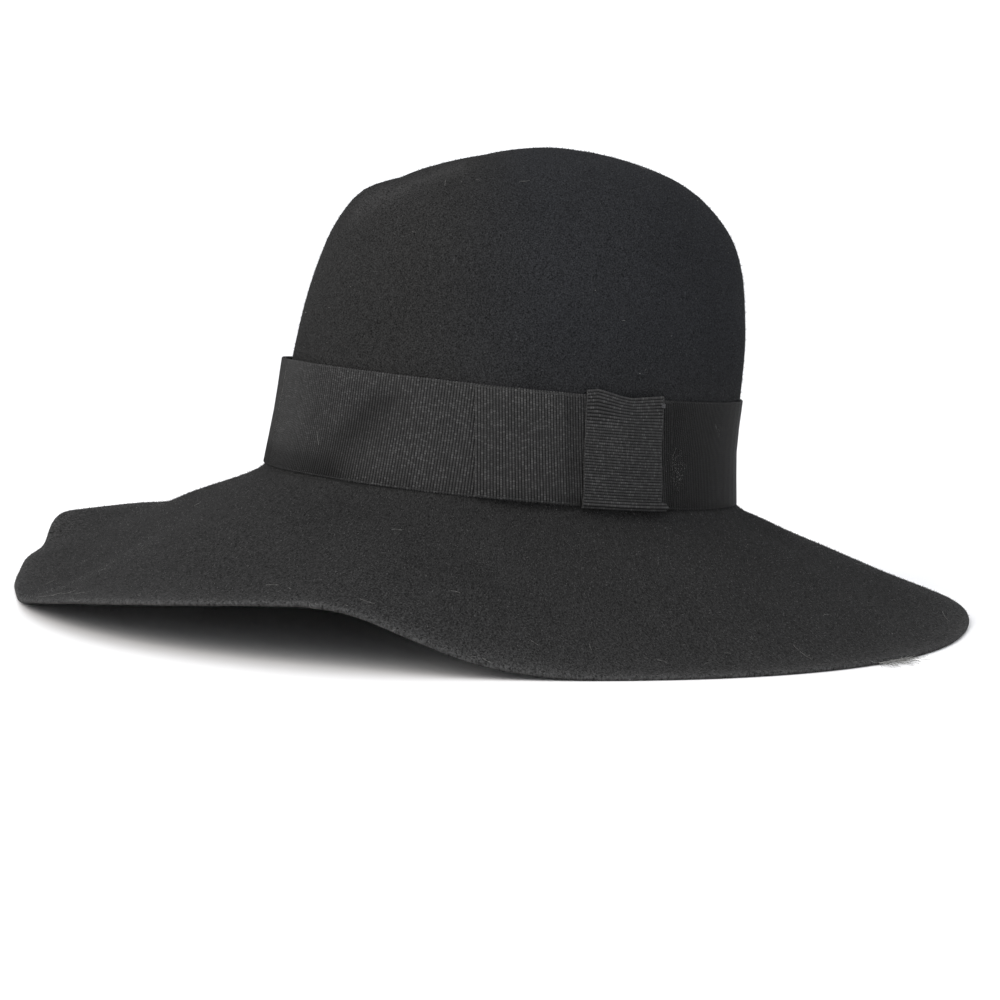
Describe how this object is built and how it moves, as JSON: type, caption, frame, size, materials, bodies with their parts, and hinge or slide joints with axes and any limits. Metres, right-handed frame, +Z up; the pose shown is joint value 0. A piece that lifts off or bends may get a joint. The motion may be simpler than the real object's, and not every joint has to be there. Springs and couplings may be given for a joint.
{
  "type": "wide-brim felt fedora",
  "caption": "Tall felt hat with a shallow crease in its crown, a broad wavy brim that rests on a surface, and a ribbed ribbon band with a flat bow on the left side.",
  "frame": {"origin": "on the surface that the hat rests on, below the middle of the box round the brim", "axes": "+Z up, -Y towards the wearer's front, +X towards the wearer's left side with the bow"},
  "size_m": [0.3774, 0.4018, 0.1885],
  "materials": {
    "wool_felt": "matt charcoal wool felt with a short nap",
    "grosgrain_ribbon": "charcoal grosgrain ribbon with a soft sheen and fine ribs"
  },
  "bodies": {
    "root": {"felt_body": "wool_felt", "hat_band": "grosgrain_ribbon", "bow_loop": "grosgrain_ribbon", "bow_keeper": "grosgrain_ribbon"}
  },
  "joints": []
}
